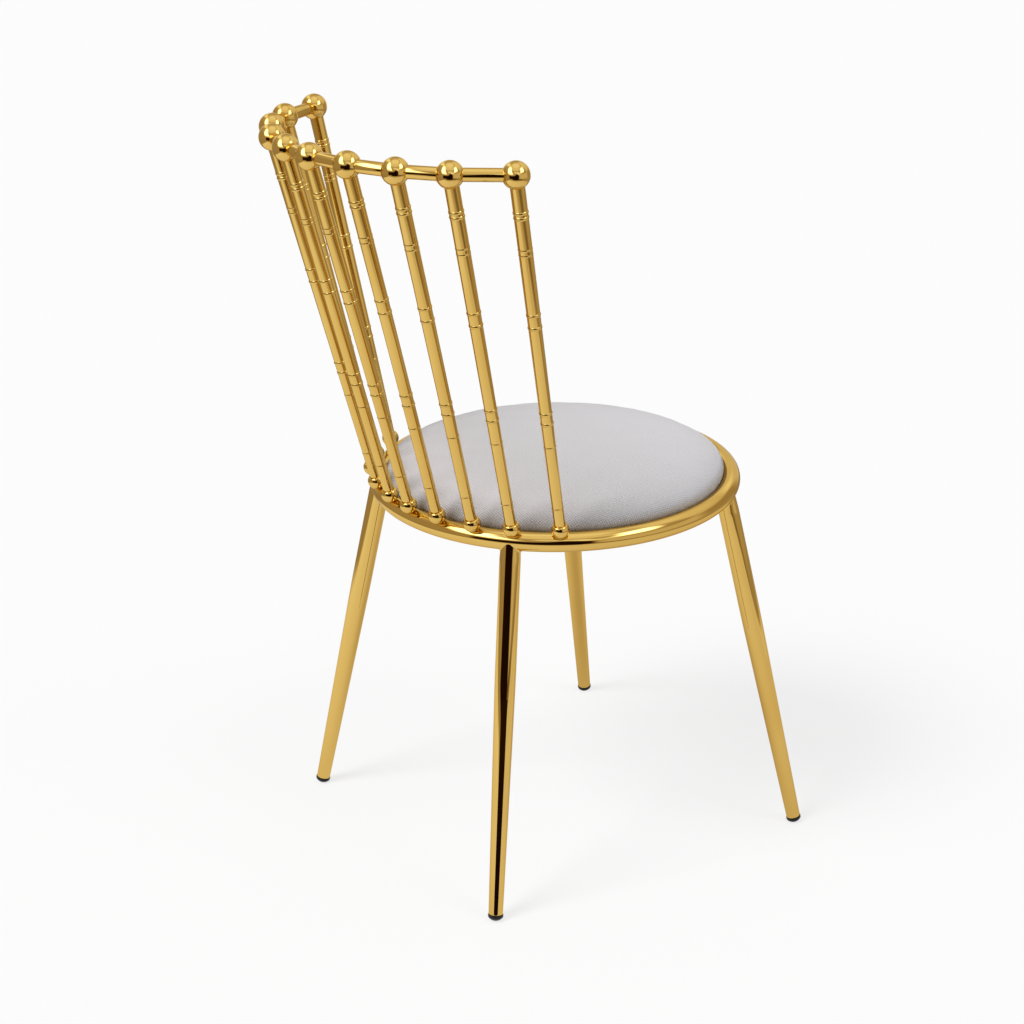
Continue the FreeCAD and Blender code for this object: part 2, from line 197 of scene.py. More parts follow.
class Finishes(PropertyGroup):
    """Colours of the chair."""
    gold: colour("Gold", "Plated frame", (0.72, 0.48, 0.132))
    deep_gold: colour("Deep gold", "Plating where it is thicker", (0.695, 0.45, 0.115))
    foot_black: colour("Foot black", "Moulded feet", (0.006, 0.006, 0.0068))
    yarn: colour("Yarn", "Raised yarns of the cover", (0.764, 0.746, 0.766))
    yarn_gap: colour("Yarn gap", "Between the yarns of the cover", (0.543, 0.527, 0.548))
    # Painted shade: darker copies of the yarn and gap colours, laid on the pad's outer band where the edge
    # turns from the light and the collars shade it
    edge_shade_yarn: colour("Drawn yarn", "Raised yarns where the cover is drawn down", (0.43, 0.408, 0.412))
    edge_shade_gap: colour("Drawn gap", "Between the yarns where the cover is drawn down", (0.17, 0.157, 0.16))
    dust: colour("Dust cloth", "Cloth under the board", (0.018, 0.018, 0.02))
    zinc: colour("Zinc", "Screws, nuts and staples", (0.62, 0.63, 0.65))
    birch: colour("Birch", "Plywood board", (0.62, 0.45, 0.28))
    floor: colour("Floor", "Pale studio floor", (0.23, 0.23, 0.231))


class StudioSetup(PropertyGroup):
    """Camera and light."""
    eye: lengths("Camera place", "Where the camera stands", (-2.00341, 1.32404, 1.34966))
    yaw: turn("Yaw", "Heading of the camera from +Y towards +X", 123.42)
    pitch: turn("Pitch", "How far the camera looks down", 21.94)
    roll: turn("Roll", "Turn about the line of sight", -0.83)
    lens: amount("Lens", "Focal length in millimetres", 79.997)
    sensor: amount("Sensor", "Width of the camera's sensor in millimetres", 36.0)
    sky: amount("Sky", "Brightness of the even light", 0.44)
    key: amount("Key light", "Strength of the soft key light", 2.05)
    key_way: way("Key light way", "Where the key light comes from", (0.04, 0.9, 1.1))
    fill: amount("Fill light", "Strength of the soft fill light", 0.4)
    fill_way: way("Fill light way", "Where the fill light comes from", (-0.9, -0.43, 1.2))
    light_spread: turn("Light spread", "How wide both lights look from the chair", 26)
    floor_shine: amount("Floor shine", "How much the floor shines by itself, to keep shadows faint", 0.737)
    wall_shine: amount("Wall shine", "Brightness of the wall round the floor", 0.972)
    tent_radius: length("Tent radius", "Reflected studio walls from the chair", 3.0)
    tent_height: length("Tent height", "Middle of the reflected studio above the floor", 0.75)
    card_height: length("Card height", "Reflected ground above the floor", 0.001)
    board_height: length("Board height", "Height of the two low reflected boards", 0.08)
    flag_width: length("Flag width", "Width of the black flag before the nearest leg", 0.03)
    flag_length: length("Flag length", "Length of the black flag before the nearest leg", 0.25)
    flag_gap: length("Flag gap", "Black flag from the nearest leg's axis", 0.028)
    flag_rise: amount("Flag rise", "Middle of the black flag as a share of the leg", 0.3)
    floor_radius: length("Floor radius", "Extent of the floor", 30.0)
    wall_height: length("Wall height", "Height of the pale wall round the floor", 12.0)


class Socket:
    """A node's output that stands in a Python expression and adds Math nodes."""

    def __init__(self, tree, output):
        self.tree = tree
        self.output = output

    def joined(self, operation, *items):
        node = self.tree.nodes.new("ShaderNodeMath")
        node.operation = operation
        for place, item in zip(node.inputs, items):
            feed(self.tree, place, item)
        return Socket(self.tree, node.outputs[0])

    def __add__(self, other):
        return self.joined("ADD", self, other)

    def __radd__(self, other):
        return self.joined("ADD", other, self)

    def __sub__(self, other):
        return self.joined("SUBTRACT", self, other)

    def __rsub__(self, other):
        return self.joined("SUBTRACT", other, self)

    def __mul__(self, other):
        return self.joined("MULTIPLY", self, other)

    def __rmul__(self, other):
        return self.joined("MULTIPLY", other, self)

    def __truediv__(self, other):
        return self.joined("DIVIDE", self, other)

    def __rtruediv__(self, other):
        return self.joined("DIVIDE", other, self)

    def __pow__(self, other):
        return self.joined("POWER", self, other)


def feed(tree, place, item):
    """Links an output to a socket, or sets a plain value on it."""
    if isinstance(item, Socket):
        tree.links.new(item.output, place)
    elif hasattr(place.default_value, "__len__"):
        item = tuple(item)
        place.default_value = item + (1.0,) * (len(place.default_value) - len(item))
    else:
        place.default_value = item


class Finish:
    """A material with a Principled shader, and the nodes that paint it."""

    def __init__(self, name, **constants):
        self.material = bpy.data.materials.new(name)
        self.material.use_nodes = True
        self.tree = self.material.node_tree
        self.shader = self.tree.nodes["Principled BSDF"]
        for socket, value in constants.items():
            feed(self.tree, self.shader.inputs[socket.replace("_", " ")], value)

    def node(self, kind, settings=None, inputs=None, output=0):
        """Adds a node, sets it up, and gives one of its outputs."""
        node = self.tree.nodes.new("ShaderNode" + kind)
        for name, value in (settings or {}).items():
            setattr(node, name, value)
        for place, item in (inputs or {}).items():
            feed(self.tree, node.inputs[place], item)
        return Socket(self.tree, node.outputs[output])

    def place(self):
        return self.node("TexCoord", output="Object")

    def noise(self, where, scale, detail=2.0, roughness=0.5):
        return self.node("TexNoise", {}, {"Vector": where, "Scale": scale, "Detail": detail,
                                          "Roughness": roughness}, "Fac")

    def step(self, value, start, end):
        """Smooth rise from 0 at start to 1 at end."""
        return self.node("MapRange", {"interpolation_type": "SMOOTHSTEP"},
                         {"Value": value, "From Min": start, "From Max": end})

    def mix(self, share, first, second):
        """Colour between two colours."""
        node = self.tree.nodes.new("ShaderNodeMix")
        node.data_type = "RGBA"
        for place, item in zip((0, 6, 7), (share, first, second)):
            feed(self.tree, node.inputs[place], item)
        return Socket(self.tree, node.outputs[2])

    def parts(self, vector):
        """The three numbers of a vector."""
        node = self.tree.nodes.new("ShaderNodeSeparateXYZ")
        feed(self.tree, node.inputs[0], vector)
        return [Socket(self.tree, output) for output in node.outputs]

    def bump(self, height, depth):
        """Normal of a surface that rises by depth metres where height is 1."""
        return self.node("Bump", {}, {"Height": height, "Distance": depth, "Strength": 1.0})

    def paint(self, **links):
        """Links outputs to the shader's own sockets."""
        for socket, item in links.items():
            feed(self.tree, self.shader.inputs[socket.replace("_", " ")], item)
        return self.material


def gold_plate():
    """Mirror-polished gold plating with a faint polishing haze."""
    tones = bpy.context.scene.chair_finishes
    gold = Finish("polished_gold", Metallic=1.0, Specular_Tint=(0.85, 0.77, 0.6))
    where = gold.place()
    cloud = gold.noise(where, 9.0, 3.0)
    haze = gold.noise(where, 55.0, 4.0, 0.6)
    ripple = gold.noise(where, 38.0, 1.0)
    return gold.paint(
        Base_Color=gold.mix(gold.step(cloud, 0.35, 0.7), tones.gold, tones.deep_gold),
        Roughness=0.02 + 0.04 * gold.step(haze, 0.45, 0.75),
        Normal=gold.bump(ripple, 0.00003))


def foot_black():
    """Glossy black moulded plastic with a fine skin."""
    tones = bpy.context.scene.chair_finishes
    black = Finish("moulded_black", Specular_IOR_Level=0.28)
    where = black.place()
    grain = black.noise(where, 2600.0, 2.0)
    scuff = black.noise(where, 240.0, 3.0)
    return black.paint(
        Base_Color=black.mix(0.4 * black.step(scuff, 0.4, 0.8), tones.foot_black, (0.014, 0.014, 0.015)),
        Roughness=0.24 + 0.16 * scuff,
        Normal=black.bump(grain, 0.00003))


def seat_fabric():
    """Pale warm-grey cover cloth of fine crossing yarns, with painted shade that darkens it towards its edge.
    """
    tones = bpy.context.scene.chair_finishes
    pitch = bpy.context.scene.chair_pad.weave_pitch
    cloth = Finish("woven_cover", Sheen_Weight=0.5, Sheen_Roughness=0.45, Specular_IOR_Level=0.2)
    spot = cloth.node("UVMap", {"uv_map": "cover"})
    across, along, _ = cloth.parts(spot)
    wander = cloth.noise(spot, 170.0, 2.0)
    first = across * (full_turn / pitch) + 5.0 * wander
    second = along * (full_turn / pitch) + 5.0 * wander
    yarns = 0.5 + 0.25 * (first.joined("SINE", first) + second.joined("SINE", second))
    fibre = cloth.noise(spot, 2400.0, 3.0, 0.7)
    shade = cloth.noise(spot, 26.0, 3.0)
    speck = cloth.noise(spot, 430.0, 1.0)
    relief = 0.7 * yarns + 0.2 * fibre + 0.4 * (speck - 0.5)
    tone = cloth.step(relief + 0.12 * shade, 0.15, 0.8)
    # Painted shade: the cloth darkens over its outer band towards the edge, more on the rear half among the
    # collars, standing in for the edge turning from the light and the collars' shade
    rear = 0.35 + 0.65 * cloth.step(along, -0.08, 0.1)
    drawn = rear * cloth.step((across * across + along * along) ** 0.5, 0.155, 0.222)
    raised = cloth.mix(drawn, tones.yarn, tones.edge_shade_yarn)
    sunk = cloth.mix(drawn, tones.yarn_gap, tones.edge_shade_gap)
    return cloth.paint(
        Base_Color=cloth.mix(tone, sunk, raised),
        Roughness=0.86 + 0.1 * fibre,
        Normal=cloth.bump(relief, 0.0003))


def dust_cloth():
    """Black bonded cloth with rows of pressed dots."""
    tones = bpy.context.scene.chair_finishes
    cloth = Finish("bonded_cloth", Sheen_Weight=0.15, Specular_IOR_Level=0.25)
    where = cloth.place()
    dots = cloth.node("TexVoronoi", {"voronoi_dimensions": "2D"},
                      {"Vector": where, "Scale": 620.0, "Randomness": 0.1})
    strands = cloth.noise(where, 1500.0, 4.0, 0.75)
    creases = cloth.noise(where, 24.0, 3.0)
    pressed = cloth.step(dots, 0.2, 0.45)
    return cloth.paint(
        Base_Color=cloth.mix(0.5 * strands, tones.dust, (0.06, 0.06, 0.065)),
        Roughness=0.62 + 0.3 * pressed,
        Normal=cloth.bump(0.12 * pressed + 0.1 * strands + creases, 0.0012))


def zinc_steel():
    """Bright zinc plating with a fine spangle and polishing lines."""
    tones = bpy.context.scene.chair_finishes
    zinc = Finish("bright_zinc", Metallic=1.0)
    where = zinc.place()
    spangle = zinc.noise(where, 420.0, 2.0)
    return zinc.paint(
        Base_Color=zinc.mix(spangle, tones.zinc, (0.5, 0.51, 0.53)),
        Roughness=0.22 + 0.2 * spangle,
        Normal=zinc.bump(zinc.noise(where, 1400.0, 2.0), 0.00001))


def plywood():
    """Sanded birch with its plies showing at the edge."""
    tones = bpy.context.scene.chair_finishes
    wood = Finish("birch_ply", Specular_IOR_Level=0.3)
    where = wood.place()
    _, _, height = wood.parts(where)
    stretched = wood.node("Mapping", {}, {"Vector": where, "Scale": (60.0, 6.0, 60.0)})
    grain = wood.noise(stretched, 3.0, 4.0)
    ply_pair = 0.0024
    layer = height * (full_turn / ply_pair)
    plies = 0.5 + 0.5 * layer.joined("SINE", layer)
    return wood.paint(
        Base_Color=wood.mix(0.5 * grain + 0.3 * plies, tones.birch, (0.42, 0.27, 0.15)),
        Roughness=0.55 + 0.25 * grain,
        Normal=wood.bump(grain, 0.0001))


finishes_made = {}


def finish_named(slot):
    """The material of a slot, made when it is first asked for."""
    ways = {"gold_plate": gold_plate, "foot_plastic": foot_black, "seat_fabric": seat_fabric,
            "dust_cloth": dust_cloth, "zinc_steel": zinc_steel, "plywood": plywood}
    if slot not in finishes_made:
        finishes_made[slot] = ways[slot]()
    return finishes_made[slot]


def pick_only(piece):
    """Selects one object and nothing else."""
    bpy.ops.object.select_all(action="DESELECT")
    piece.select_set(True)
    bpy.context.view_layer.objects.active = piece


def settle(piece):
    """Puts the object's place into its mesh."""
    pick_only(piece)
    bpy.ops.object.transform_apply(location=True, rotation=True, scale=True)


def close_up(angle=30):
    """Merges seams and poles of the mesh in edit mode, turns its faces outwards and smooths it."""
    bpy.ops.mesh.select_all(action="SELECT")
    bpy.ops.mesh.remove_doubles(threshold=merge_gap)
    bpy.ops.mesh.normals_make_consistent(inside=False)
    bpy.ops.object.mode_set(mode="OBJECT")
    bpy.ops.object.shade_smooth_by_angle(angle=math.radians(angle))


def turned(name, profile, sides, angle=30):
    """Piece turned about Z from a profile of (radius, height) points."""
    bpy.ops.object.select_all(action="DESELECT")
    bpy.ops.mesh.primitive_plane_add(size=0.001)
    piece = bpy.context.object
    piece.name = name
    bpy.ops.object.mode_set(mode="EDIT")
    bpy.ops.mesh.merge(type="CENTER")
    start = profile[0]
    bpy.ops.transform.translate(value=(start[0], 0, start[1]))
    for (r0, z0), (r1, z1) in zip(profile, profile[1:]):
        bpy.ops.mesh.extrude_vertices_move(TRANSFORM_OT_translate={"value": (r1 - r0, 0, z1 - z0)})
    bpy.ops.mesh.select_all(action="SELECT")
    bpy.ops.mesh.spin(steps=sides, angle=full_turn, center=(0, 0, 0), axis=(0, 0, 1))
    close_up(angle)
    return piece


def twin(piece, name):
    """A copy of a piece with a mesh of its own."""
    copy = piece.copy()
    copy.data = piece.data.copy()
    copy.name = name
    bpy.context.scene.collection.objects.link(copy)
    return copy


def mirrored(piece, name):
    """A copy of a piece on the other side of the chair."""
    copy = twin(piece, name)
    copy.scale = (-1, 1, 1)
    settle(copy)
    bpy.ops.object.mode_set(mode="EDIT")
    bpy.ops.mesh.select_all(action="SELECT")
    bpy.ops.mesh.normals_make_consistent(inside=False)
    bpy.ops.object.mode_set(mode="OBJECT")
    return copy


def join_up(pieces, name):
    """Makes one object of several."""
    pick_only(pieces[0])
    for piece in pieces:
        piece.select_set(True)
    bpy.ops.object.join()
    pieces[0].name = name
    return pieces[0]


def seat_on(piece, origin, direction):
    """Moves a piece drawn about Z so that its axis starts at origin and points along direction."""
    piece.matrix_world = Matrix.Translation(origin) @ axis_turn(direction)
    settle(piece)


def axis_turn(direction):
    return up.rotation_difference(direction).to_matrix().to_4x4()


def fit(piece, finish, *nodes):
    """Dresses a finished piece, fixes it to the chair and lets it stand for CAD nodes."""
    piece.data.materials.clear()
    piece.data.materials.append(finish_named(finish))
    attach(piece, "root")
    if nodes:
        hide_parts(*nodes)


def arc(centre, radius, start, end, steps):
    """Points of a circular arc in a profile, angles in degrees from the radius axis."""
    turns = [math.radians(start + (end - start) * i / steps) for i in range(steps + 1)]
    return [(centre[0] + radius * math.cos(t), centre[1] + radius * math.sin(t)) for t in turns]


def round_seat(radius, angle, height):
    """Point at an angle from the rear, turning towards +X, about the seat's axis."""
    return Vector((radius * math.sin(angle), seat_middle.y + radius * math.cos(angle), height))


def leg_lines():
    """Floor point and ring point of the left legs."""
    size = bpy.context.scene.chair_frame
    height = seat_middle.z
    return {
        "back": (round_seat(size.back_foot_radius, size.back_foot_angle, 0),
                 round_seat(size.ring_radius, size.back_angle, height)),
        "front": (round_seat(size.front_foot_radius, size.front_foot_angle, 0),
                  round_seat(size.ring_radius, size.front_angle, height)),
    }


def back_angles():
    """Ball angles from the -X end to the +X end."""
    half = [math.radians(a) for a in (6.4, 20.9, 35.4, 49.9, 66.8)]
    return [-a for a in reversed(half)] + half


def ball_centre(angle):
    size = bpy.context.scene.chair_back
    drop = size.end_drop * (angle / back_angles()[-1]) ** 2
    y = seat_middle.y + size.arc_setback + size.arc_radius * math.cos(angle)
    return Vector((size.arc_radius * math.sin(angle), y, size.rail_height - drop))


def collar_centre(angle):
    size = bpy.context.scene.chair_back
    return round_seat(size.collar_out, angle * size.base_fan, size.collar_height)


class CHAIR_OT_ring(Operator):
    """Bends the seat ring from a round tube section"""
    bl_idname = "chair.ring"
    bl_label = "Seat ring"

    def execute(self, context):
        size = context.scene.chair_frame
        sides, bends = 64, 320
        bpy.ops.object.select_all(action="DESELECT")
        bpy.ops.mesh.primitive_circle_add(vertices=sides, radius=size.tube_radius,
                                          location=(size.ring_radius, 0, 0), rotation=(math.pi / 2, 0, 0))
        ring = context.object
        ring.name = "ring_tube"
        settle(ring)
        bpy.ops.object.mode_set(mode="EDIT")
        bpy.ops.mesh.select_all(action="SELECT")
        bpy.ops.mesh.spin(steps=bends, angle=full_turn, center=(0, 0, 0), axis=(0, 0, 1))
        close_up()
        ring.location = seat_middle
        settle(ring)
        fit(ring, "gold_plate", "seat_ring")
        return {"FINISHED"}


def weld_line(size, stand, leg_length, angle, steps):
    """Points from a leg's skin round the weld to the ring's tube and on inside it, in the leg's own frame."""
    halvings = 50
    out = Vector((math.cos(angle), math.sin(angle), 0))

    def skin(s):
        return size.leg_top + (size.leg_shaft - size.leg_top) * (leg_length - s) / size.leg_neck

    def ball(s):
        return out * (skin(s) + size.weld) + up * s

    def ring_point(point):
        world = stand @ point
        flat = Vector((world.x, world.y - seat_middle.y, 0)).normalized() * size.ring_radius
        near = Vector((flat.x, flat.y + seat_middle.y, seat_middle.z))
        return stand.inverted() @ near

    low, high = leg_length - size.leg_neck, leg_length
    for _ in range(halvings):
        middle = (low + high) / 2
        away = (ball(middle) - ring_point(ball(middle))).length
        low, high = (middle, high) if away > size.tube_radius + size.weld else (low, middle)
    centre = ball(low)
    tube_side = (ring_point(centre) - centre).normalized()
    leg_side = -out
    sweep = leg_side.angle(tube_side)
    points = []
    for i in range(steps + 1):
        share = i / steps
        side = leg_side * math.sin((1 - share) * sweep) + tube_side * math.sin(share * sweep)
        points.append(centre + side / math.sin(sweep) * size.weld)
    points.append(points[-1] + tube_side * size.weld_root)
    return points


class CHAIR_OT_legs(Operator):
    """Turns the tapered legs and rounds their welds under the ring"""
    bl_idname = "chair.legs"
    bl_label = "Legs"

    def execute(self, context):
        size = context.scene.chair_frame
        first_ring, last_ring, bend, neck_start = 0.02, 0.006, 0.012, 0.00005
        weld_steps, step_up = 8, 0.0005
        for pair, (floor_point, ring_point) in leg_lines().items():
            axis = ring_point - floor_point
            end = floor_point + axis.normalized() * size.foot_head
            leg_length = (ring_point - end).length
            lip = size.leg_lip
            straight = leg_length - size.leg_neck
            widening = (size.leg_shaft - size.leg_end) / size.leg_taper
            profile = [(0, 0), (size.leg_end - lip, 0)]
            profile += arc((size.leg_end - lip, lip), lip, -72, 0, 5)
            tapered = np.linspace(first_ring, size.leg_taper - bend, 8)
            parallel = np.linspace(size.leg_taper + bend, straight - last_ring, 6)
            profile += [(size.leg_end + widening * s, s) for s in tapered]
            profile += [(size.leg_shaft, s) for s in parallel]
            profile += [(size.leg_shaft - neck_start, straight)]
            leg = turned("leg_tube_%s_left" % pair, profile, 64)
            stand = Matrix.Translation(end) @ axis_turn(axis)
            bpy.ops.object.mode_set(mode="EDIT")
            mesh = bmesh.from_edit_mesh(leg.data)
            for vertex in mesh.verts:
                vertex.select = vertex.co.z > straight - 1e-5
            mesh.select_flush(True)
            bmesh.update_edit_mesh(leg.data)
            for loop in range(weld_steps + 2):
                bpy.ops.mesh.extrude_region_move(TRANSFORM_OT_translate={"value": (0, 0, step_up)})
                mesh = bmesh.from_edit_mesh(leg.data)
                for vertex in mesh.verts:
                    if vertex.select:
                        angle = math.atan2(vertex.co.y, vertex.co.x)
                        vertex.co = weld_line(size, stand, leg_length, angle, weld_steps)[loop]
                bmesh.update_edit_mesh(leg.data)
            bpy.ops.mesh.edge_face_add()
            close_up(40)
            seat_on(leg, end, axis)
            other = mirrored(leg, "leg_tube_%s_right" % pair)
            fit(leg, "gold_plate", "leg_%s_left" % pair)
            fit(other, "gold_plate", "leg_%s_right" % pair)
        return {"FINISHED"}


class CHAIR_OT_feet(Operator):
    """Turns the domed feet and cuts them flat at the floor"""
    bl_idname = "chair.feet"
    bl_label = "Feet"

    def execute(self, context):
        size = context.scene.chair_frame
        for pair, (floor_point, ring_point) in leg_lines().items():
            axis = (ring_point - floor_point).normalized()
            dome = math.sqrt(size.dome_radius ** 2 - size.flat_radius ** 2) / axis.z
            meet = math.degrees(math.acos(size.foot_radius / size.dome_radius))
            edge = size.foot_edge
            profile = arc((0, dome), size.dome_radius, -90, -meet, 16)
            profile += arc((size.foot_radius - edge, size.foot_head - edge), edge, 0, 90, 5)
            profile += [(0, size.foot_head)]
            foot = turned("foot_cap_%s_left" % pair, profile, 48, 35)
            seat_on(foot, floor_point, axis)
            bpy.ops.object.mode_set(mode="EDIT")
            bpy.ops.mesh.select_all(action="SELECT")
            bpy.ops.mesh.bisect(plane_co=(0, 0, 0), plane_no=(0, 0, 1), use_fill=True, clear_inner=True,
                                threshold=merge_gap)
            close_up(35)
            other = mirrored(foot, "foot_cap_%s_right" % pair)
            fit(foot, "foot_plastic", "foot_%s_left" % pair)
            fit(other, "foot_plastic", "foot_%s_right" % pair)
        return {"FINISHED"}


class CHAIR_OT_collars(Operator):
    """Turns the round cups that hold the spindles on the ring"""
    bl_idname = "chair.collars"
    bl_label = "Collars"

    def execute(self, context):
        size = context.scene.chair_back
        socket = size.spindle_end + size.fit_gap
        rim = socket + size.collar_wall
        rim_height = math.sqrt(size.collar_radius ** 2 - rim ** 2)
        edge = size.edge_round
        top = math.degrees(math.atan2(rim_height, rim))
        profile = arc((0, 0), size.collar_radius, -90, top - 2, 24)
        profile += arc((rim - edge, rim_height - edge), edge, 40, 90, 3)
        profile += arc((socket + edge, rim_height - edge), edge, 90, 180, 4)
        profile += [(socket, -size.socket_floor), (0, -size.socket_floor)]
        pattern = turned("collar_pattern", profile, 56, 35)
        for i, angle in enumerate(back_angles()):
            cup = twin(pattern, "collar_cup_%02d" % (i + 1))
            foot = collar_centre(angle)
            seat_on(cup, foot, ball_centre(angle) - foot)
            fit(cup, "gold_plate", "collar_%02d" % (i + 1))
        bpy.data.objects.remove(pattern)
        return {"FINISHED"}


def stretch(piece, beyond, change):
    """Moves the end of a turned piece, past a height on its axis, along the axis."""
    pick_only(piece)
    bpy.ops.object.mode_set(mode="EDIT")
    mesh = bmesh.from_edit_mesh(piece.data)
    for vertex in mesh.verts:
        vertex.select = vertex.co.z < beyond
    mesh.select_flush(True)
    bmesh.update_edit_mesh(piece.data)
    bpy.ops.transform.translate(value=(0, 0, change))
    bpy.ops.object.mode_set(mode="OBJECT")


class CHAIR_OT_spindles(Operator):
    """Turns the tapered spindles with their beads"""
    bl_idname = "chair.spindles"
    bl_label = "Spindles"

    def execute(self, context):
        size = context.scene.chair_back
        reaches = [(ball_centre(a) - collar_centre(a)).length for a in back_angles()]
        start, end = size.spindle_start, max(reaches) + size.spindle_seat
        slope = (size.spindle_end - size.spindle_top) / (end - start)

        def skin(s):
            return size.spindle_top + slope * (s - start)

        marks = [(s, size.bead_width, size.bead_height) for s in size.bead_places]
        marks += [(s, size.line_width, size.line_height) for s in size.line_places]
        profile = [(0, -start), (skin(start), -start)]
        for s, wide, proud in sorted(marks):
            bend = ((wide / 2) ** 2 + proud ** 2) / (2 * proud)
            sweep = math.degrees(math.asin(wide / 2 / bend))
            profile += arc((skin(s) + proud - bend, -s), bend, sweep, -sweep, 8)
        profile += [(skin(end), -end), (0, -end)]
        pattern = turned("spindle_pattern", profile, 64, 24)
        for i, angle in enumerate(back_angles()):
            rod = twin(pattern, "spindle_rod_%02d" % (i + 1))
            stretch(rod, 0.01 - end, max(reaches) - reaches[i])
            ball = ball_centre(angle)
            seat_on(rod, ball, ball - collar_centre(angle))
            fit(rod, "gold_plate", "spindle_%02d" % (i + 1))
        bpy.data.objects.remove(pattern)
        return {"FINISHED"}


class CHAIR_OT_balls(Operator):
    """Turns the hollow balls at the tops of the spindles"""
    bl_idname = "chair.balls"
    bl_label = "Balls"

    def execute(self, context):
        size = context.scene.chair_back
        hole = size.spindle_top + size.fit_gap
        edge = size.edge_round
        opening = math.degrees(math.acos((hole + edge) / size.ball_radius))
        profile = arc((0, 0), size.ball_radius, 90, -opening, 40)
        low = profile[-1][1]
        profile += arc((hole + edge, low + edge), edge, 230, 180, 4)
        profile += [(hole, low + size.mouth_depth), (0, low + size.mouth_depth)]
        pattern = turned("ball_pattern", profile, 72, 35)
        for i, angle in enumerate(back_angles()):
            ball = twin(pattern, "back_ball_%02d" % (i + 1))
            centre = ball_centre(angle)
            seat_on(ball, centre, centre - collar_centre(angle))
            fit(ball, "gold_plate", "ball_%02d" % (i + 1))
        bpy.data.objects.remove(pattern)
        return {"FINISHED"}


class CHAIR_OT_rails(Operator):
    """Turns the short tubes that join the balls"""
    bl_idname = "chair.rails"
    bl_label = "Rails"

    def execute(self, context):
        size = context.scene.chair_back
        balls = [ball_centre(a) for a in back_angles()]
        spans = [(b - a).length for a, b in zip(balls, balls[1:])]
        seat, edge = size.rail_start, size.edge_round
        reach = max(spans) - seat
        radius = size.rail_radius
        profile = [(0, -seat)] + arc((radius - edge, -seat - edge), edge, 90, 0, 3)
        profile += arc((radius - edge, -reach + edge), edge, 0, -90, 3) + [(0, -reach)]
        pattern = turned("rail_pattern", profile, 64, 35)
        for i, span in enumerate(spans):
            rail = twin(pattern, "top_rail_%02d" % (i + 1))
            stretch(rail, 0.002 - reach, max(spans) - span)
            seat_on(rail, balls[i], balls[i] - balls[i + 1])
            fit(rail, "gold_plate", "rail_%02d" % (i + 1))
        bpy.data.objects.remove(pattern)
        return {"FINISHED"}


def pad_profile(size, tube, crown):
    """Half section of the pad from the crown to the middle of its underside, about the seat's axis."""
    edge_x = size.wide_radius - size.edge_round
    drop = size.wide_height - crown
    bow = (size.edge_round ** 2 - edge_x ** 2 - drop ** 2) / (2 * (drop + size.edge_round))
    bow_z = crown - bow
    join = math.degrees(math.atan2(edge_x, size.wide_height - bow_z))
    side = tube.tube_radius + size.tube_gap
    across, rise = tube.ring_radius - edge_x, size.wide_height - seat_middle.z
    apart = math.hypot(across, rise)
    along = (size.edge_round ** 2 - side ** 2 + apart ** 2) / (2 * apart)
    aside = math.sqrt(size.edge_round ** 2 - along ** 2)
    crease_x = edge_x + (along * across + aside * rise) / apart
    crease_z = size.wide_height + (aside * across - along * rise) / apart
    tuck = math.degrees(math.atan2(crease_z - size.wide_height, crease_x - edge_x))
    swing = math.degrees(math.atan2(crease_z - seat_middle.z, crease_x - tube.ring_radius))
    points = arc((0, bow_z), bow, 90, 90 - join, 48)
    points += arc((edge_x, size.wide_height), size.edge_round, 90 - join, tuck, 16)[1:]
    points += arc((tube.ring_radius, seat_middle.z), side, swing, 180, 12)[1:]
    inner = points[-1][0]
    points += [(inner, size.hem_height + size.hem_edge), (inner - size.hem_edge, size.hem_height)]
    return points + [(r, size.hem_height) for r in np.linspace(size.hem_reach, 0, 9)]


def even_out(places, moved, band, wrinkles):
    """Damps wrinkles: keeps the mean swelling of each ring of cloth and a share of what differs from it."""
    upper_rings = 1000
    flat = places[:, :2] - (0.0, seat_middle.y)
    radii = np.linalg.norm(flat, axis=1)
    outward = flat / np.maximum(radii, 1e-9)[:, None]
    upper = places[:, 2] > seat_middle.z
    ring = np.round(radii / band).astype(int) + upper_rings * upper
    mean = np.zeros_like(moved)
    for number in np.unique(ring):
        here = ring == number
        out = np.mean(np.sum(moved[here, :2] * outward[here], axis=1))
        mean[here, :2], mean[here, 2] = out * outward[here], np.mean(moved[here, 2])
    return mean + wrinkles * (moved - mean)


def stuff(pad, size):
    """Swells the pad's cover by simulated stuffing, held where it is drawn in round the tube."""
    frames = 20
    held = pad.vertex_groups.new(name="held")
    held.add([v.index for v in pad.data.vertices if v.co.z < size.wide_height], 1.0, "REPLACE")
    cloth = pad.modifiers.new("stuffing", "CLOTH")
    cover = cloth.settings
    cover.use_pressure = True
    cover.uniform_pressure_force = 4.0
    cover.effector_weights.gravity = 0.0
    cover.vertex_group_mass = "held"
    cover.tension_stiffness = cover.compression_stiffness = 25.0
    cover.shear_stiffness = 12.0
    cover.bending_stiffness = 4.0
    cloth.collision_settings.use_collision = False
    cloth.point_cache.frame_start, cloth.point_cache.frame_end = 1, frames
    scene = bpy.context.scene
    for step in range(1, frames + 1):
        scene.frame_set(step)
    count = len(pad.data.vertices)
    rest, swollen = np.zeros(3 * count), np.zeros(3 * count)
    pad.data.vertices.foreach_get("co", rest)
    done = pad.evaluated_get(bpy.context.evaluated_depsgraph_get())
    done.data.vertices.foreach_get("co", swollen)
    moved = even_out(rest.reshape(-1, 3), (swollen - rest).reshape(-1, 3), size.cell, size.wrinkles)
    far = np.linalg.norm(moved, axis=1, keepdims=True)
    capped = moved * size.swell / (size.swell + far)
    pad.modifiers.remove(cloth)
    pad.data.vertices.foreach_set("co", rest + capped.ravel())
    pad.data.update()
    scene.frame_set(1)


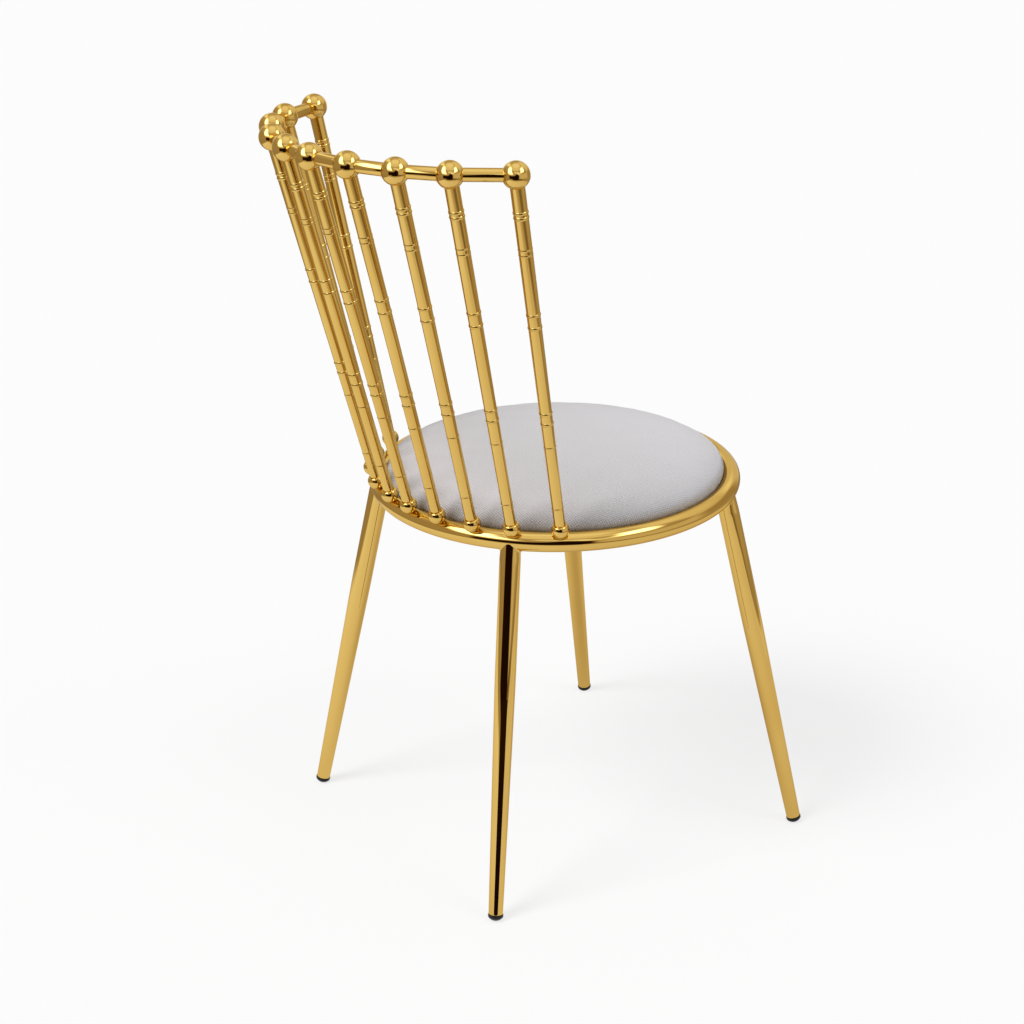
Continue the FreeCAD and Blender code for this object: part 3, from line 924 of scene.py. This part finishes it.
def lay_out_cover(pad, profile):
    """Unrolls the cover onto a flat map, in metres, from its crown outwards."""
    line = np.array(profile)
    moves = np.diff(line, axis=0)
    spans = np.linalg.norm(moves, axis=1)
    run = np.concatenate(([0.0], np.cumsum(spans)[:-1]))
    places = np.zeros(3 * len(pad.data.vertices))
    pad.data.vertices.foreach_get("co", places)
    flat = places.reshape(-1, 3)[:, :2] - (0.0, seat_middle.y)
    radii = np.linalg.norm(flat, axis=1)
    spots = np.stack((radii, places.reshape(-1, 3)[:, 2]), axis=1)
    nearest, reach = np.full(len(spots), np.inf), np.zeros(len(spots))
    for start, move, span, gone in zip(line, moves, spans, run):
        share = np.clip((spots - start) @ move / span ** 2, 0.0, 1.0)
        away = np.linalg.norm(spots - start - share[:, None] * move, axis=1)
        closer = away < nearest
        nearest[closer], reach[closer] = away[closer], (gone + share * span)[closer]
    unrolled = flat * (reach / np.maximum(radii, 1e-9))[:, None]
    corners = np.zeros(len(pad.data.loops), dtype=np.int32)
    pad.data.loops.foreach_get("vertex_index", corners)
    layer = pad.data.uv_layers.new(name="cover")
    layer.data.foreach_set("uv", unrolled[corners].ravel())


class CHAIR_OT_pad(Operator):
    """Forms the round pad, stuffs it and lays its cover cloth"""
    bl_idname = "chair.pad"
    bl_label = "Seat pad"

    def execute(self, context):
        size, tube = context.scene.chair_pad, context.scene.chair_frame
        unstuffed = pad_profile(size, tube, size.crown_height - size.slack * size.swell)
        pad = turned("seat_pad", unstuffed, 128)
        pad.location = (0, seat_middle.y, 0)
        settle(pad)
        remesh = pad.modifiers.new("cells", "REMESH")
        remesh.mode = "VOXEL"
        remesh.voxel_size = size.cell
        remesh.use_smooth_shade = True
        bpy.ops.object.modifier_apply(modifier=remesh.name)
        stuff(pad, size)
        fine = pad.modifiers.new("fine", "SUBSURF")
        fine.levels = fine.render_levels = 1
        pick_only(pad)
        bpy.ops.object.modifier_apply(modifier=fine.name)
        bpy.ops.object.shade_smooth()
        lay_out_cover(pad, pad_profile(size, tube, size.crown_height))
        fit(pad, "seat_fabric", "seat_cover", "seat_foam")
        return {"FINISHED"}


class CHAIR_OT_dust_cloth(Operator):
    """Lays the cloth that closes the underside of the seat"""
    bl_idname = "chair.dust_cloth"
    bl_label = "Dust cloth"

    def execute(self, context):
        size = context.scene.chair_pad
        radius, half = size.dust_radius, size.dust_thickness / 2
        middle = size.hem_height - half
        profile = [(0, middle + half)] + [(r, middle + half) for r in np.linspace(0.02, radius - half, 12)]
        profile += arc((radius - half, middle), half, 60, -60, 4)
        profile += [(r, middle - half) for r in np.linspace(radius - half, 0, 13)]
        cloth = turned("dust_cloth", profile, 128)
        cloth.location = (0, seat_middle.y, 0)
        settle(cloth)
        fit(cloth, "dust_cloth", "dust_cover")
        return {"FINISHED"}


def fixing_turns():
    """Turn of each seat tab from the rear."""
    return {"back": 0.0, "left": math.pi / 2, "front": math.pi, "right": -math.pi / 2}


def swing_round(piece, angle):
    """Turns a piece drawn at the rear of the seat's axis to its place round the seat."""
    piece.matrix_world = Matrix.Translation((0, seat_middle.y, 0)) @ Matrix.Rotation(-angle, 4, "Z")
    settle(piece)


class CHAIR_OT_tabs(Operator):
    """Cuts the steel tabs that hold the pad inside the ring"""
    bl_idname = "chair.tabs"
    bl_label = "Seat tabs"

    def execute(self, context):
        size, tube = context.scene.chair_pad, context.scene.chair_frame
        outer = tube.ring_radius - size.tab_root
        long = outer - size.tab_tip
        height = size.hem_height - size.tab_thickness / 2
        bpy.ops.object.select_all(action="DESELECT")
        bpy.ops.mesh.primitive_cube_add(size=1, location=(0, size.tab_tip + long / 2, height))
        pattern = context.object
        pattern.scale = (size.tab_width, long, size.tab_thickness)
        settle(pattern)
        bpy.ops.object.mode_set(mode="EDIT")
        mesh = bmesh.from_edit_mesh(pattern.data)
        for edge in mesh.edges:
            a, b = (v.co for v in edge.verts)
            edge.select = abs(a.z - b.z) > 1e-4 and a.y < size.tab_tip + 1e-4
        mesh.select_flush(True)
        bmesh.update_edit_mesh(pattern.data)
        bpy.ops.mesh.bevel(offset=size.tab_corner, segments=10)
        bpy.ops.object.mode_set(mode="OBJECT")
        rounding = pattern.modifiers.new("rounding", "BEVEL")
        rounding.width, rounding.segments, rounding.limit_method = size.tab_edge, 3, "ANGLE"
        bpy.ops.object.modifier_apply(modifier=rounding.name)
        bpy.ops.object.shade_smooth_by_angle(angle=math.radians(30))
        for name, angle in fixing_turns().items():
            tab = twin(pattern, "pad_tab_" + name)
            swing_round(tab, angle)
            fit(tab, "gold_plate", "seat_tab_" + name)
        bpy.data.objects.remove(pattern)
        return {"FINISHED"}


class CHAIR_OT_screws(Operator):
    """Turns the pan head screws and presses their cross recesses"""
    bl_idname = "chair.screws"
    bl_label = "Seat screws"

    def execute(self, context):
        size = context.scene.chair_pad
        top = size.hem_height - size.tab_thickness
        low = top - size.head_height
        tip = top + size.shank_length
        bend, shank = size.head_round, size.shank_radius
        profile = [(0, low)] + [(r, low) for r in (0.001, 0.002, 0.0028)]
        profile += arc((size.head_radius - bend, low + bend), bend, -90, 0, 8)
        profile += [(size.head_radius, top), (shank, top), (shank, tip), (0, tip)]
        pattern = turned("screw_pattern", profile, 48, 35)
        long, wide = size.cross_length, size.cross_width
        for name, across in (("long", (long, wide)), ("wide", (wide, long))):
            bpy.ops.object.select_all(action="DESELECT")
            bpy.ops.mesh.primitive_cube_add(size=1, location=(0, 0, low))
            blade = context.object
            blade.scale = (*across, 2 * size.cross_depth)
            settle(blade)
            cut = pattern.modifiers.new(name, "BOOLEAN")
            cut.operation, cut.object, cut.solver = "DIFFERENCE", blade, "EXACT"
            pick_only(pattern)
            bpy.ops.object.modifier_apply(modifier=cut.name)
            bpy.data.objects.remove(blade)
        pattern.location = (0, size.screw_place, 0)
        settle(pattern)
        bpy.ops.object.shade_smooth_by_angle(angle=math.radians(30))
        screws = [twin(pattern, "pad_screw_" + name) for name in fixing_turns()]
        for screw, angle in zip(screws, fixing_turns().values()):
            swing_round(screw, angle)
        bpy.data.objects.remove(pattern)
        fit(join_up(screws, "pad_screws"), "zinc_steel", "seat_screws")
        return {"FINISHED"}


class CHAIR_OT_staples(Operator):
    """Rounds a staple's back and sets a row of them round the dust cloth's edge"""
    bl_idname = "chair.staples"
    bl_label = "Staples"

    def execute(self, context):
        size = context.scene.chair_pad
        height = size.hem_height - size.dust_thickness - size.staple_stand
        uneven = 0.02
        bpy.ops.object.select_all(action="DESELECT")
        bpy.ops.mesh.primitive_cube_add(size=1, location=(0, size.staple_place, height))
        pattern = context.object
        pattern.name = "staple_pattern"
        pattern.scale = size.staple_size
        settle(pattern)
        rounding = pattern.modifiers.new("rounding", "BEVEL")
        rounding.width, rounding.segments = size.staple_round, 2
        bpy.ops.object.modifier_apply(modifier=rounding.name)
        bpy.ops.object.shade_smooth_by_angle(angle=math.radians(40))
        staples = []
        for i in range(size.staples):
            staple = twin(pattern, "staple_%02d" % i)
            swing_round(staple, full_turn * (i + 0.5) / size.staples + uneven * math.sin(7.0 * i))
            staples.append(staple)
        bpy.data.objects.remove(pattern)
        fit(join_up(staples, "staples"), "zinc_steel")
        return {"FINISHED"}


class CHAIR_OT_inside(Operator):
    """Dresses the board and the nuts inside the seat"""
    bl_idname = "chair.inside"
    bl_label = "Inside of the seat"

    def execute(self, context):
        for node, finish in (("seat_board", "plywood"), ("tee_nuts", "zinc_steel")):
            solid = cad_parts[node]
            solid.data.materials.clear()
            solid.data.materials.append(finish_named(finish))
        return {"FINISHED"}


def window(paint, value, low, high, soft):
    """1 between two values and 0 outside them, with soft edges."""
    return paint.step(value, low - soft, low + soft) * (1 - paint.step(value, high - soft, high + soft))


def glow(paint, brightness):
    """Makes a stage surface shine with a brightness that varies over it, warmer where it is dimmer."""
    shine = paint.node("CombineColor", {}, {"Red": brightness, "Green": brightness ** 1.2,
                                            "Blue": brightness ** 1.5})
    return paint.paint(Base_Color=(0, 0, 0), Specular_IOR_Level=0.0, Emission_Strength=1.0,
                       Emission_Color=shine)


def tent_glow(studio):
    """What the polished metal mirrors above: soft boxes, pale walls and ceiling, black low behind the camera.

    Angles in degrees: across from the camera's side towards its right, lift above the tent's middle.
    """
    tent = Finish("studio_tent")
    x, y, z = tent.parts(tent.place())
    degrees = 180 / math.pi
    across = x.joined("ARCTAN2", y, x) * degrees
    lift = z.joined("ARCSINE", z / studio.tent_radius) * degrees
    front = window(tent, across, -60, 60, 25)
    right = window(tent, across, 25, 95, 8) * (1 - tent.step(lift, 12, 20))
    far_right = window(tent, across, 95, 165, 8) * window(tent, lift, 15, 60, 5)
    behind = tent.step(across.joined("ABSOLUTE", across), 132, 148) * window(tent, lift, -14, 22, 5)
    walls = 0.45 + 0.12 * tent.step(lift, 20, 34) + (0.1 + 0.3 * front) * tent.step(lift, 38, 50)
    ceiling = (0.45 - 0.3 * front) * tent.step(lift, 60, 74)
    shine = walls + ceiling + 0.3 * right + 0.35 * far_right + 0.42 * behind

    def soft_box(middle, lean, low, high, half, soft):
        from_middle = across - (middle + (lift - 36) * lean)
        from_middle = from_middle.joined("ABSOLUTE", from_middle)
        return (1 - tent.step(from_middle, half - soft, half + soft)) * window(tent, lift, low, high, soft)

    boxes = ((2.6, (-59, -0.9, 17, 58, 20, 8)),
             (2.6, (59, 0.7, 27, 54, 16, 8)),
             (0.7, (45, 1.6, 13, 26, 16, 7)),
             (0.7, (-141, 1.2, 20, 58, 12, 8)),
             (0.5, (4, 0.0, 23, 36, 18, 5)))
    for strength, place in boxes:
        shine = shine + strength * soft_box(*place)
    hump = (across - 7) * (across - 7) / -170.0
    black_top = 6 + 15 * hump.joined("EXPONENT", hump)
    black = window(tent, across, -50, 22, 3) * (1 - tent.step(lift - black_top, -2, 2))
    return glow(tent, shine * (1 - 0.97 * black))


def surround_glow():
    """Dim floor that the metal mirrors round a lit white patch, black towards the camera.

    Metres: ahead towards the camera, aside to its right.
    """
    ground = Finish("studio_surround")
    ahead, aside, _ = ground.parts(ground.place())
    near_half, far_half, side_half, squareness = 1.35, 1.2, 1.32, 4.0
    from_middle = ahead - 0.45
    near = from_middle.joined("MAXIMUM", from_middle, 0.0) / near_half
    far = from_middle.joined("MINIMUM", from_middle, 0.0) / far_half
    wide = (aside + 0.08) / side_half
    outside = ground.step(near ** squareness + far ** squareness + wide ** squareness, 0.5, 1.5)
    slope = (aside + 0.02) / (ahead - 0.2)
    front = ground.step(ahead, 1.6, 2.0) * window(ground, slope, -0.5, 0.36, 0.08)
    # Painted shadow: the lit patch dips below the seat, standing in for the chair's shadow on the mirrored
    # floor
    under = ((ahead + 0.15) * (ahead + 0.15) + (aside - 0.15) * (aside - 0.15)) / -0.09
    corner = ground.step(ahead + 0.75 * aside, 1.64, 2.1)
    outside = outside.joined("MAXIMUM", outside, corner)
    lit = (0.93 - 0.1 * aside) * (1 - 0.3 * under.joined("EXPONENT", under))
    lit = lit * (1 - 0.45 * ground.step(ahead, 1.1, 1.6))
    dim = 0.42 * (1 - 0.6 * ground.step(ahead, 1.8, 2.6)) + 0.12 * ground.step(aside, 1.5, 2.1)
    dim = dim * (1 - 0.4 * corner * (1 - ground.step(aside, 1.3, 1.9)))
    return glow(ground, (lit * (1 - outside) + dim * outside) * (1 - 0.96 * front))


def board_glow():
    """Low white board that the legs mirror on the right, dimmer in its upper half."""
    board = Finish("studio_board")
    half = bpy.context.scene.chair_studio.board_height / 2
    _, height, _ = board.parts(board.place())
    return glow(board, 0.88 - 0.4 * board.step(height, 0.0, half))


def flag_glow():
    """Narrow black flag that the nearest leg mirrors as a dark stripe."""
    flag = Finish("studio_flag")
    _, along, _ = flag.parts(flag.place())
    return glow(flag, 0.01 + 0.01 * flag.step(along, -0.1, 0.1))


def pale_floor():
    """Matt white studio floor that shines by itself, so that shadows on it stay faint."""
    tones, studio = bpy.context.scene.chair_finishes, bpy.context.scene.chair_studio
    ground = Finish("studio_floor", Specular_IOR_Level=0.0, Emission_Color=(1, 1, 1),
                    Emission_Strength=studio.floor_shine)
    cloud = ground.noise(ground.place(), 0.8, 2.0)
    return ground.paint(
        Base_Color=ground.mix(0.15 * cloud, tones.floor, (0.217, 0.217, 0.218)),
        Roughness=0.9 + 0.05 * cloud)


def pale_wall():
    """Evenly lit wall of the floor's own brightness, so that no horizon shows."""
    studio = bpy.context.scene.chair_studio
    wall = Finish("studio_wall", Base_Color=(0, 0, 0), Specular_IOR_Level=0.0,
                  Emission_Strength=studio.wall_shine)
    cloud = wall.noise(wall.place(), 0.1, 2.0)
    return wall.paint(Emission_Color=wall.mix(cloud, (1.0, 1.0, 1.0), (0.995, 0.995, 0.995)))


class CHAIR_OT_stage(Operator):
    """Lays the floor, sets the studio light and places the camera"""
    bl_idname = "chair.stage"
    bl_label = "Studio"

    def execute(self, context):
        studio = context.scene.chair_studio
        self.lay_floor(studio)
        self.hang_tent(studio)
        world = bpy.data.worlds.new("studio_sky")
        context.scene.world = world
        world.use_nodes = True
        light = world.node_tree.nodes["Background"].inputs
        light["Color"].default_value = (1, 1, 1, 1)
        light["Strength"].default_value = studio.sky
        self.hang_lights(studio)
        self.set_camera(context, studio)
        shown = context.scene.view_settings
        shown.view_transform, shown.look, shown.exposure, shown.gamma = "Standard", "None", 0.0, 1.0
        return {"FINISHED"}

    def lay_floor(self, studio):
        bpy.ops.object.select_all(action="DESELECT")
        bpy.ops.mesh.primitive_circle_add(vertices=128, radius=studio.floor_radius, fill_type="NGON")
        floor = bpy.context.object
        floor.name = "studio_floor"
        floor.data.materials.append(pale_floor())
        floor.visible_diffuse = False
        bpy.ops.object.select_all(action="DESELECT")
        bpy.ops.mesh.primitive_cylinder_add(vertices=128, radius=studio.floor_radius,
                                            depth=studio.wall_height, end_fill_type="NOTHING",
                                            location=(0, 0, studio.wall_height / 2))
        wall = bpy.context.object
        wall.name = "studio_wall"
        wall.data.materials.append(pale_wall())
        wall.visible_diffuse = wall.visible_glossy = wall.visible_shadow = False

    def hang_tent(self, studio):
        heading = math.atan2(studio.eye[1], studio.eye[0])
        bpy.ops.object.select_all(action="DESELECT")
        bpy.ops.mesh.primitive_uv_sphere_add(segments=96, ring_count=48, radius=studio.tent_radius,
                                             location=(0, 0, studio.tent_height), rotation=(0, 0, heading))
        self.mirror_only("studio_tent", tent_glow(studio))
        bpy.ops.object.select_all(action="DESELECT")
        bpy.ops.mesh.primitive_circle_add(vertices=96, radius=studio.tent_radius, fill_type="NGON",
                                          location=(0, 0, studio.card_height), rotation=(0, 0, heading))
        self.mirror_only("studio_surround", surround_glow())
        toward = Vector((math.cos(heading), math.sin(heading), 0))
        right = Vector((-toward.y, toward.x, 0))
        tall = studio.board_height
        for name, span, middle in (
                ("studio_board_side", 1.85 * toward, 1.1 * right - 0.075 * toward),
                ("studio_board_front", 0.72 * right - 0.53 * toward, 1.115 * toward + 0.74 * right)):
            self.stand_card((span.length, tall), middle + tall / 2 * up, span.normalized(), up)
            self.mirror_only(name, board_glow())
        foot, top = (Vector((-p.x, p.y, p.z)) for p in leg_lines()["back"])
        axis = (top - foot).normalized()
        middle = foot.lerp(top, studio.flag_rise) + studio.flag_gap * toward
        side = axis.cross(toward).normalized()
        self.stand_card((studio.flag_width, studio.flag_length), middle, side, axis)
        self.mirror_only("studio_flag", flag_glow())

    def stand_card(self, size, middle, along, upward):
        """Adds a flat card of a width and a height, turned to its place."""
        bpy.ops.object.select_all(action="DESELECT")
        bpy.ops.mesh.primitive_plane_add(size=1)
        card = bpy.context.object
        card.scale = (*size, 1.0)
        settle(card)
        facing = Matrix((along, upward, along.cross(upward))).transposed().to_4x4()
        card.matrix_world = Matrix.Translation(middle) @ facing

    def hang_lights(self, studio):
        lights = (("studio_key", studio.key, studio.key_way), ("studio_fill", studio.fill, studio.fill_way))
        for name, strength, source in lights:
            bpy.ops.object.select_all(action="DESELECT")
            bpy.ops.object.light_add(type="SUN", location=(0, 0, studio.tent_radius))
            lamp = bpy.context.object
            lamp.name = name
            lamp.rotation_euler = up.rotation_difference(Vector(source)).to_euler()
            lamp.data.angle, lamp.data.energy = studio.light_spread, strength
            lamp.visible_glossy = False

    def mirror_only(self, name, material):
        """Lets only reflections see a part of the studio."""
        part = bpy.context.object
        part.name = name
        part.data.materials.append(material)
        part.visible_camera = part.visible_diffuse = part.visible_shadow = False
        part.visible_transmission = part.visible_volume_scatter = False

    def set_camera(self, context, studio):
        ahead = Vector((math.sin(studio.yaw) * math.cos(studio.pitch),
                        math.cos(studio.yaw) * math.cos(studio.pitch), -math.sin(studio.pitch)))
        level = Vector((math.cos(studio.yaw), -math.sin(studio.yaw), 0))
        over = level.cross(ahead)
        side = math.cos(studio.roll) * level + math.sin(studio.roll) * over
        head = math.cos(studio.roll) * over - math.sin(studio.roll) * level
        camera = bpy.data.objects.new("camera", bpy.data.cameras.new("camera"))
        context.scene.collection.objects.link(camera)
        camera.data.lens, camera.data.sensor_width = studio.lens, studio.sensor
        facing = Matrix((side, head, -ahead)).transposed().to_4x4()
        camera.matrix_world = Matrix.Translation(Vector(studio.eye)) @ facing
        context.scene.camera = camera


class CHAIR_PT_pieces(Panel):
    """Lists the chair's pieces in the sidebar"""
    bl_idname = "CHAIR_PT_pieces"
    bl_label = "Dining chair"
    bl_space_type = "VIEW_3D"
    bl_region_type = "UI"
    bl_category = "Chair"

    def draw(self, context):
        for maker in makers:
            self.layout.operator(maker.bl_idname)
        for group in groups:
            settings = getattr(context.scene, group)
            for name in settings.bl_rna.properties.keys():
                if name not in ("name", "rna_type"):
                    self.layout.prop(settings, name)


groups = {"chair_frame": FrameSizes, "chair_back": BackSizes, "chair_pad": PadSizes,
          "chair_finishes": Finishes, "chair_studio": StudioSetup}
makers = (CHAIR_OT_ring, CHAIR_OT_legs, CHAIR_OT_feet, CHAIR_OT_collars, CHAIR_OT_spindles, CHAIR_OT_balls,
          CHAIR_OT_rails, CHAIR_OT_pad, CHAIR_OT_dust_cloth, CHAIR_OT_tabs, CHAIR_OT_screws,
          CHAIR_OT_staples, CHAIR_OT_inside, CHAIR_OT_stage)
classes = (*groups.values(), *makers, CHAIR_PT_pieces)


def register():
    for item in classes:
        bpy.utils.register_class(item)
    for name, group in groups.items():
        setattr(bpy.types.Scene, name, PointerProperty(type=group))


def unregister():
    for name in groups:
        delattr(bpy.types.Scene, name)
    for item in reversed(classes):
        bpy.utils.unregister_class(item)


def main():
    """Builds every piece in order."""
    register()
    bpy.ops.chair.ring()
    bpy.ops.chair.legs()
    bpy.ops.chair.feet()
    bpy.ops.chair.collars()
    bpy.ops.chair.spindles()
    bpy.ops.chair.balls()
    bpy.ops.chair.rails()
    bpy.ops.chair.pad()
    bpy.ops.chair.dust_cloth()
    bpy.ops.chair.tabs()
    bpy.ops.chair.screws()
    bpy.ops.chair.staples()
    bpy.ops.chair.inside()
    bpy.ops.chair.stage()


if __name__ == "__main__":
    main()
